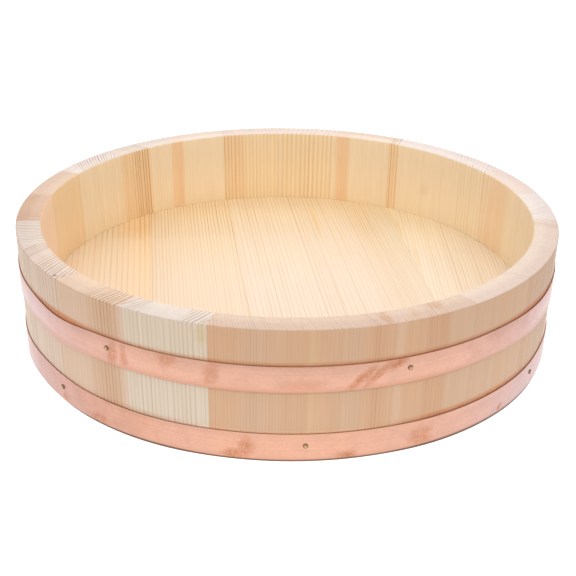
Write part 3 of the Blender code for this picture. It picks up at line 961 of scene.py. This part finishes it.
def board_finish(name, middle, width, timber, seed):
    """Timber of one floor board, with its rings running along the board."""
    material, shader, place = new_finish(name)
    turn = {"Vector": place, "Rotation": (0, 0, -FLOOR_TURN)}
    turned = place.node("ShaderNodeMapping", None, turn)
    x = turned.node("ShaderNodeSeparateXYZ", None, {0: turned})
    along, height = x.beside("Y"), x.beside("Z")
    across = x - middle + (along - floor_radius * SWING_PIVOT) * timber["swing"]
    line, streak, fibre, tone = timber_grain(across, floor_top - height, along, width, timber, seed)
    back = along.rise(floor_radius * BACK_STARTS, floor_radius)
    by_wall = along.rise(*RAISED_REACH) * timber["raised"] + 1
    line = (line * (back * timber["quiet"] + (1 - timber["quiet"])) * by_wall).math("MINIMUM", 1)
    # Late-wood lines, then painted warm bounce light towards the back.
    colour = tone.mix(FLOOR_LATE_WOOD, line, "MULTIPLY").mix(PAINTED_BACK_BOUNCE, back, "MULTIPLY")
    # Painted light at the far end.
    colour = colour.mix(PAINTED_BACK_LIGHT, along.rise(*BACK_LIGHT_REACH), "MULTIPLY")
    for centre, half, slant, tint in timber.get("streaks", []):
        resin = patch(x, along, centre, half, slant, streak * STREAK_RAGGEDNESS)
        colour = colour.mix((*tint, 1), resin, "MULTIPLY")
    shade = fibre * FIBRE_TONE + streak * STREAK_TONE * FLOOR_STREAKS
    colour.tinted(shade, GRAIN_HUE).into(shader, "Base Color")
    (fibre * FIBRE_ROUGHNESS + FLOOR_ROUGHNESS).into(shader, "Roughness")
    bump_into(shader, fibre * FIBRE_RELIEF)
    return material


print("floor finish is ready")

# %% Saw the boards from the disc
DISC_SIDES = 192
BOARD_EASE = 0.0001
BOARD_OPEN = 0.00002
BOARD_SEED = 3.1

across_floor = Vector((math.cos(FLOOR_TURN), math.sin(FLOOR_TURN), 0))


def board_edges(node):
    """Where a board starts and ends across the floor, in the floor's own turned direction."""
    reach = [p.dot(across_floor) for p in corners(node)]
    return min(reach), max(reach)


edges = [board_edges(f"floor_board_{number}") for number in range(1, BOARD_COUNT + 1)]
joints = [(before[1] + after[0]) / 2 for before, after in zip(edges, edges[1:])]

for number in range(1, BOARD_COUNT + 1):
    node = f"floor_board_{number}"
    left, right = edges[number - 1]
    cuts = []
    if number > 1:
        left = joints[number - 2] + BOARD_OPEN / 2
        cuts.append((left, -1))
    if number < BOARD_COUNT:
        right = joints[number - 1] - BOARD_OPEN / 2
        cuts.append((right, 1))
    bpy.ops.object.select_all(action="DESELECT")
    bpy.ops.mesh.primitive_cylinder_add(
        vertices=DISC_SIDES,
        radius=floor_radius,
        depth=floor_top - floor_bottom,
        location=(0, 0, (floor_top + floor_bottom) / 2),
        rotation=(0, 0, FLOOR_TURN),
    )
    board = bpy.context.object
    board.name = "tub_" + node
    bpy.ops.object.transform_apply(location=True, rotation=True, scale=True)
    bpy.ops.object.mode_set(mode="EDIT")
    for place, side in cuts:
        bpy.ops.mesh.select_all(action="SELECT")
        bpy.ops.mesh.bisect(
            plane_co=across_floor * place, plane_no=across_floor * side, use_fill=True, clear_outer=True)
    bpy.ops.mesh.select_all(action="SELECT")
    bpy.ops.mesh.normals_make_consistent(inside=False)
    bpy.ops.object.mode_set(mode="OBJECT")
    ease_edges(board, BOARD_EASE)
    middle, width = (left + right) / 2, right - left
    finish = board_finish(f"timber_of_{node}", middle, width, BOARDS[node], seed=BOARD_SEED * number)
    settle(board, node, finish)

print(BOARD_COUNT, "boards with joints at", [round(joint, 4) for joint in joints], "m across")

# %% [markdown]
# ## Copper hoops
#
# A hoop is a strip of sheet copper bent once round the tub, with its end lapped over its beginning at the
# back. A ring cut from a tube would be quicker to make, but it would have no ends and no lap. So the strip
# is made as it is bent: its section is spun nearly all the way round, then pushed out step by step to climb
# over its own start, then spun on for the length of the lap. Last, proportional editing pulls the strip a
# little up or down where the hoop isn't level.
#
# The metal is satin with orange-brown tarnish where damp stood on it, faint lines along the strip from
# rolling, and a duller cut edge. Its sides get a painted paler reflection. The lower hoop is brighter and
# more orange at the front, and has a painted contact shadow along its lower edge.

# %% Patches of tarnish
# A patch of tarnish is (angle, height on the strip, half width in degrees, half height, slant, strength).
UPPER_PATCHES = [
    (-33.0, 0.0060, 1.6, 0.011, 60, 0.52),
    (-30.6, 0.0080, 1.4, 0.011, 0, 0.42),
    (-21.5, 0.0125, 2.6, 0.006, 0, 0.48),
    (-13.2, 0.0085, 1.9, 0.014, 60, 0.38),
    (-42.0, 0.0080, 12.0, 0.030, 0, 0.10),
    (3.0, 0.0030, 5.0, 0.006, 0, 0.25),
    (13.6, 0.0065, 1.7, 0.011, 330, 0.62),
    (17.0, 0.0090, 1.8, 0.011, 330, 0.55),
    (20.2, 0.0135, 2.4, 0.005, 200, 0.65),
    (48.0, 0.0080, 16.0, 0.030, 0, 0.20),
    (150.0, 0.0080, 5.0, 0.010, 100, 0.55),
    (-110.0, 0.0060, 4.0, 0.009, 0, 0.55),
]
LOWER_PATCHES = [
    (-7.2, 0.0060, 2.0, 0.0115, 0, 0.58),
    (-8.8, 0.0025, 3.3, 0.0075, 0, 0.58),
    (-30.0, 0.0090, 9.0, 0.0300, 0, 0.18),
    (11.5, 0.0010, 2.8, 0.0060, 0, 0.62),
    (26.3, 0.0050, 3.2, 0.0100, 0, 0.50),
    (47.0, 0.0040, 0.8, 0.0035, 200, 0.65),
    (-49.0, 0.0035, 1.8, 0.0050, 0, 0.65),
    (-38.0, 0.0030, 5.0, 0.0070, 0, 0.50),
    (-46.0, 0.0090, 26.0, 0.0400, 0, 0.27),
    (110.0, 0.0080, 5.0, 0.0100, 0, 0.60),
    (-140.0, 0.0060, 4.0, 0.0090, 100, 0.60),
]


print(len(UPPER_PATCHES), "patches on the upper hoop,", len(LOWER_PATCHES), "on the lower")

# %% Copper finish
# The painted side reflection and the brighter front are a middle, a half width and how far they fade past
# it, in degrees.
COPPER = (0.600, 0.343, 0.254, 1)
# A paler, cooler painted reflection on the sides of the hoops.
SIDE_REFLECTION = (0.522, 0.359, 0.343, 1)
SIDE_REFLECTION_SPAN = (66, 4, 38)
# A brighter, more orange tone at the front of the lower hoop.
FRONT_COPPER = (0.630, 0.353, 0.252, 1)
FRONT_COPPER_SPAN = (0, 9, 14)
TARNISH = (0.48, 0.200, 0.100, 1)
THIN_TARNISH = (0.08, 0.35)
THIN_TARNISH_SHARE = 0.3
SPECKLE, PATCH_COVER = 4.2, 1.05
LOW_EDGE_REACH = (0.0030, 0.0002)
LOW_EDGE_COVER = 0.55
LOW_EDGE_SHARE = 0.5
CUT_EDGE = (0.52, 0.285, 0.180, 1)
CUT_EDGE_SLOPE = (0.5, 0.8)
# Painted contact shadow along the lower edge of the hoop that stands on the table.
PAINTED_CONTACT_SHADOW = (0.18, 0.10, 0.07, 1)
CONTACT_SHADOW_REACH = (0.0012, 0.0004)
CLOUD_SCALE = (110, 110, 130)
GRIME_SCALE = (850, 850, 700)
GRIME_RAGGEDNESS = 1.3
ROLLING_ALONG, ROLLING_ACROSS = 0.03, 1100
ROLLING_TONE, CLOUD_TONE, GRIME_TONE = 0.24, 0.24, 0.18
COPPER_ROUGHNESS = 0.38
TARNISH_ROUGHNESS, ROLLING_ROUGHNESS = 0.2, 0.12
ROLLING_RELIEF = 0.000004
DENT_RELIEF = 0.00006


def copper_finish(name, low, patches, foot_line, seed):
    """Satin copper with a painted paler reflection on its sides, granular tarnish, lines from rolling and
    dull cut edges.

    The foot line is 1 for a hoop that stands on the table: its lower edge gets a painted contact shadow, and
    its front is brighter and more orange.
    """
    material, shader, place = new_finish(name)
    x = place.node("ShaderNodeSeparateXYZ", None, {0: place})
    angle = x.math("ARCTAN2", x.beside("Y") * -1) * math.degrees(1)
    height = x.beside("Z") - low
    cloud = place.noise(CLOUD_SCALE, detail=4.0, seed=seed)
    grime = place.noise(GRIME_SCALE, detail=3.0, seed=seed + 2)
    ragged = cloud + grime * GRIME_RAGGEDNESS
    tarnish = cloud.rise(*THIN_TARNISH) * THIN_TARNISH_SHARE
    for around, up, half_angle, half_height, slant, strength in patches:
        stained = patch(angle, height, (around, up), (half_angle, half_height), slant, ragged)
        tarnish = tarnish.math("MAXIMUM", stained * strength * (grime * SPECKLE + PATCH_COVER))
    low_edge = height.rise(*LOW_EDGE_REACH) * (grime + cloud + LOW_EDGE_COVER)
    tarnish = tarnish.math("MAXIMUM", low_edge * LOW_EDGE_SHARE)
    facing = x.node("ShaderNodeNewGeometry", output="Normal")
    upward = facing.node("ShaderNodeSeparateXYZ", None, {0: facing}, output="Z")
    lengths = {0: angle * ROLLING_ALONG, 1: height * ROLLING_ACROSS}
    strip = angle.node("ShaderNodeCombineXYZ", None, lengths)
    rolling = strip.noise((1, 1, 1), detail=3.0, seed=seed)
    colour = x.node("ShaderNodeRGB")
    colour.socket.default_value = COPPER
    # The front of the lower hoop is brighter and more orange.
    colour = colour.mix(FRONT_COPPER, angle.hump(*FRONT_COPPER_SPAN) * foot_line)
    # Painted reflection on the sides, then tarnish over it.
    colour = colour.mix(SIDE_REFLECTION, angle.math("ABSOLUTE").hump(*SIDE_REFLECTION_SPAN)).mix(TARNISH, tarnish)
    colour = colour.mix(CUT_EDGE, upward.rise(*CUT_EDGE_SLOPE))
    # Painted contact shadow along the lower edge.
    colour = colour.mix(PAINTED_CONTACT_SHADOW, height.rise(*CONTACT_SHADOW_REACH) * foot_line)
    shade = rolling * ROLLING_TONE + cloud * CLOUD_TONE + grime * GRIME_TONE + 1
    colour.scaled(shade).into(shader, "Base Color")
    shader.inputs["Metallic"].default_value = 1.0
    roughness = tarnish * TARNISH_ROUGHNESS + rolling * ROLLING_ROUGHNESS + COPPER_ROUGHNESS
    roughness.into(shader, "Roughness")
    bump_into(shader, rolling * ROLLING_RELIEF + cloud * DENT_RELIEF)
    return material


print("copper finish is ready")

# %% Finding the wall and the end of a strip
COPPER_THICKNESS = 0.0007
SAME_WAY = 0.9


def wall_at(height):
    """The wall's outer radius at a height."""
    return foot_outside + (rim_outside - foot_outside) * height / tub_height


def face_at(angle):
    """Selects the end face of the strip at this angle: the one that looks along the strip."""
    outward = Vector((math.sin(angle), -math.cos(angle), 0))
    onward = Vector((math.cos(angle), math.sin(angle), 0))
    mesh = bmesh.from_edit_mesh(bpy.context.object.data)
    bpy.ops.mesh.select_all(action="DESELECT")
    bpy.context.tool_settings.mesh_select_mode = (False, False, True)
    for face in mesh.faces:
        face.normal_update()
        middle = face.calc_center_median()
        on_plane = abs(middle.dot(onward)) < COPPER_THICKNESS / 4 and middle.dot(outward) > 0
        if on_plane and abs(face.normal.dot(onward)) > SAME_WAY:
            face.select_set(True)
    bmesh.update_edit_mesh(bpy.context.object.data)
    return outward


print("wall at the hoop tops, m:", [round(wall_at(top), 4) for top in hoop_tops.values()])

# %% Bend a hoop from its section
# A hoop's trim is how far its lower edge is raised and its upper edge lowered. Below zero it adds to the
# strip.
HOOP_SIDES = 180
LAP_LENGTH = 0.024
RAMP_LENGTH = 0.010
RAMP_LEAD = 1.5
RAMP_STEPS = 6
LAP_STEPS = 8
LAP_GAP = 0.0003
HOOP_EASE = 0.00016
HOOP_GAP = 0.0001
HOOP_TRIM = {"upper_hoop": (-0.0006, 0), "lower_hoop": (-0.0003, 0.0004)}
CREST_MARGIN = 0.1


def bend_hoop(node, lap_start):
    """A strip bent once round the tub from the angle where its lap starts, in degrees."""
    low, high = (corner.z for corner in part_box(node))
    low += HOOP_TRIM[node][0]
    high -= HOOP_TRIM[node][1]
    foot, top = wall_at(low) + HOOP_GAP, wall_at(high) + HOOP_GAP
    hoop = upright_plane("tub_" + node, foot, foot + COPPER_THICKNESS, low, high)
    choose("verts", lambda p: p.z > (low + high) / 2)
    bpy.ops.transform.translate(value=(0, foot - top, 0))
    bpy.ops.object.mode_set(mode="OBJECT")
    start = math.radians(lap_start)
    hoop.rotation_euler = (0, 0, start)
    bpy.ops.object.transform_apply(location=True, rotation=True, scale=True)
    bpy.ops.object.mode_set(mode="EDIT")
    bpy.ops.mesh.select_all(action="SELECT")
    ramp = RAMP_LENGTH / foot
    turn = 2 * math.pi - RAMP_LEAD * ramp
    bpy.ops.mesh.spin(steps=HOOP_SIDES, angle=-turn, center=(0, 0, 0), axis=(0, 0, 1))
    angle = start + turn
    climbed = 0
    for step in range(1, RAMP_STEPS + 1):
        outward = face_at(angle)
        share = step / RAMP_STEPS
        climb = (3 - 2 * share) * share * share * (COPPER_THICKNESS + LAP_GAP)
        bpy.ops.mesh.extrude_region_move(TRANSFORM_OT_translate={"value": outward * (climb - climbed)})
        bpy.ops.transform.rotate(value=-ramp / RAMP_STEPS, orient_axis="Z", center_override=(0, 0, 0))
        angle += ramp / RAMP_STEPS
        climbed = climb
    face_at(angle)
    lap = LAP_LENGTH / foot + (RAMP_LEAD - 1) * ramp
    bpy.ops.mesh.spin(steps=LAP_STEPS, angle=-lap, center=(0, 0, 0), axis=(0, 0, 1))
    bpy.ops.mesh.select_all(action="SELECT")
    bpy.ops.mesh.remove_doubles(threshold=WELD)
    bpy.ops.mesh.normals_make_consistent(inside=False)
    for middle, rise, crest, flank, _ in HOOP_WAVES[node]:
        choose("verts", lambda p: abs(angle_of(p) - middle) < crest + CREST_MARGIN)
        bpy.ops.transform.translate(
            value=(0, 0, rise),
            use_proportional_edit=True,
            proportional_edit_falloff="SMOOTH",
            proportional_size=math.radians(flank) * foot,
        )
    bpy.ops.object.mode_set(mode="OBJECT")
    ease_edges(hoop, HOOP_EASE)
    return hoop


print("laps of", LAP_LENGTH, "m")

# %% Bend both hoops
LAP_STARTS = {"upper_hoop": -159.2, "lower_hoop": -175.9}
COPPER_LOOKS = {
    "upper_hoop": dict(patches=UPPER_PATCHES, foot_line=0, seed=1.7),
    "lower_hoop": dict(patches=LOWER_PATCHES, foot_line=1, seed=5.2),
}

for node, looks in COPPER_LOOKS.items():
    hoop = bend_hoop(node, LAP_STARTS[node])
    finish = copper_finish(f"copper_of_{node}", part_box(node)[0].z, **looks)
    settle(hoop, node, finish)
    print(node, "has", len(hoop.data.polygons), "faces")

# %% [markdown]
# ## Brass nails
#
# Seven small nails go through each hoop. Half a ball would do for a head from far away, but a hammered head
# is low, has an edge that stands on the copper, and isn't quite level on top. So a nail starts as a short
# cylinder for the head: the top is drawn in and raised ring by ring to a low dome, and the underside is
# drawn in and pulled down to a shank and a point. One nail is modelled, then copied to each packed nail
# along that nail's own axis, with its head down on the hoop.

# %% Brass finish
BRASS = (0.53, 0.385, 0.215, 1)
OLD_BRASS = (0.26, 0.160, 0.090, 1)
BRIGHT_CROWN = (0.0004, 0.0013)
SPOT_SCALE = (1500, 1500, 1500)
SPOT_RAGGEDNESS = 0.0016
SPOT_ROUGHNESS = 0.3
BRASS_ROUGHNESS = 0.45
HAMMERED = 0.0003


def brass_finish(name, crown, seed):
    """Old brass, bright on the crown of the head and dark round its edge."""
    material, shader, place = new_finish(name)
    distance = {"operation": "DISTANCE"}
    away = place.node("ShaderNodeVectorMath", distance, {0: place, 1: crown}, output="Value")
    spots = place.noise(SPOT_SCALE, detail=3.0, seed=seed)
    dark = (away + spots * SPOT_RAGGEDNESS).rise(*BRIGHT_CROWN)
    base = place.node("ShaderNodeRGB")
    base.socket.default_value = BRASS
    base.mix(OLD_BRASS, dark).into(shader, "Base Color")
    shader.inputs["Metallic"].default_value = 1.0
    (spots * SPOT_ROUGHNESS + BRASS_ROUGHNESS).into(shader, "Roughness")
    bump_into(shader, spots * HAMMERED)
    return material


print("brass finish is ready")

# %% Model one nail
HEAD_RADIUS = 0.00155
HEAD_EDGE = 0.00025
HEAD_HEIGHT = 0.0008
SHANK_RADIUS = 0.00065
NAIL_LENGTH = 0.009
POINT_LENGTH = 0.002
POINT_SHARE = 0.15
NAIL_EASE = 0.00006
HEAD_SIDES = 20
DOME_STEPS = 3
DOME_ARC = math.radians(55)
HAMMER_TILT = math.radians(9)

bpy.ops.object.select_all(action="DESELECT")
bpy.ops.mesh.primitive_cylinder_add(
    vertices=HEAD_SIDES, radius=HEAD_RADIUS, depth=HEAD_EDGE, location=(0, 0, HEAD_EDGE / 2)
)
nail_model = bpy.context.object
bpy.ops.object.transform_apply(location=True, rotation=True, scale=True)
bpy.ops.object.mode_set(mode="EDIT")
ring, level = HEAD_RADIUS, HEAD_EDGE
for step in range(1, DOME_STEPS + 1):
    arc = DOME_ARC * step / DOME_STEPS
    next_ring = HEAD_RADIUS * math.cos(arc)
    next_level = HEAD_EDGE + (HEAD_HEIGHT - HEAD_EDGE) * math.sin(arc) / math.sin(DOME_ARC)
    choose("faces", lambda p: p.z > level - WELD)
    bpy.ops.mesh.extrude_region_move(TRANSFORM_OT_translate={"value": (0, 0, next_level - level)})
    bpy.ops.transform.resize(value=(next_ring / ring, next_ring / ring, 1))
    ring, level = next_ring, next_level
bpy.ops.transform.rotate(value=HAMMER_TILT, orient_axis="X", center_override=(0, 0, level))
choose("faces", lambda p: p.z < WELD)
bpy.ops.mesh.inset(thickness=HEAD_RADIUS - SHANK_RADIUS)
choose("faces", lambda p: p.z < WELD and radius_of(p) < WELD)
bpy.ops.mesh.extrude_region_move(TRANSFORM_OT_translate={"value": (0, 0, POINT_LENGTH - NAIL_LENGTH)})
bpy.ops.mesh.extrude_region_move(TRANSFORM_OT_translate={"value": (0, 0, -POINT_LENGTH)})
bpy.ops.transform.resize(value=(POINT_SHARE, POINT_SHARE, 1))
bpy.ops.mesh.select_all(action="SELECT")
bpy.ops.mesh.normals_make_consistent(inside=False)
bpy.ops.object.mode_set(mode="OBJECT")
ease_edges(nail_model, NAIL_EASE)
print("nail has", len(nail_model.data.polygons), "faces")

# %% Drive a nail at each packed nail
NAILS_PER_HOOP = 7
STRIKE_TURN = 137
NAIL_SEED = 1.9

for hoop in ("upper", "lower"):
    for number in range(1, NAILS_PER_HOOP + 1):
        node = f"{hoop}_nail_{number}"
        points = sorted(corners(node), key=radius_of)
        tip, crown = points[0], points[-1]
        axis = (crown - tip).normalized()
        nail = copy_of(nail_model, "tub_" + node)
        struck = Matrix.Rotation(math.radians(STRIKE_TURN * number), 4, "Z")
        stand = axis.to_track_quat("Z", "Y").to_matrix().to_4x4() @ struck
        seat = wall_at(crown.z) + HOOP_GAP + COPPER_THICKNESS
        nail.matrix_world = Matrix.Translation(crown - axis * (radius_of(crown) - seat)) @ stand
        bpy.ops.object.transform_apply(location=True, rotation=True, scale=True)
        crown -= axis * (radius_of(crown) - seat - HEAD_HEIGHT)
        finish = brass_finish(f"brass_of_{node}", crown, seed=NAIL_SEED * number)
        settle(nail, node, finish)

bpy.data.objects.remove(nail_model)
print(2 * NAILS_PER_HOOP, "nails")

# %% [markdown]
# ## Bamboo dowels
#
# Eight dowels cross the joints between the floor boards, out of sight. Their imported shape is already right,
# so they stay as they are and only get a bamboo finish.

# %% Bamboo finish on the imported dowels
DOWEL_COUNT = 8
BAMBOO = (0.66, 0.50, 0.26, 1)
DARK_STRAND = (0.45, 0.31, 0.13, 1)
STRAND_SCALE = (60, 2400, 2400)
DARK_STRANDS = (0.0, 0.3)
STRAND_ROUGHNESS = 0.2
BAMBOO_ROUGHNESS = 0.5

bamboo, bamboo_shader, dowel_place = new_finish("bamboo")
strands = dowel_place.noise(STRAND_SCALE, detail=2.0)
bamboo_base = dowel_place.node("ShaderNodeRGB")
bamboo_base.socket.default_value = BAMBOO
bamboo_base.mix(DARK_STRAND, strands.rise(*DARK_STRANDS)).into(bamboo_shader, "Base Color")
(strands * STRAND_ROUGHNESS + BAMBOO_ROUGHNESS).into(bamboo_shader, "Roughness")
for number in range(1, DOWEL_COUNT + 1):
    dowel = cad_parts[f"floor_dowel_{number}"]
    for material_slot in dowel.material_slots:
        material_slot.material = bamboo
print(DOWEL_COUNT, "dowels in bamboo")
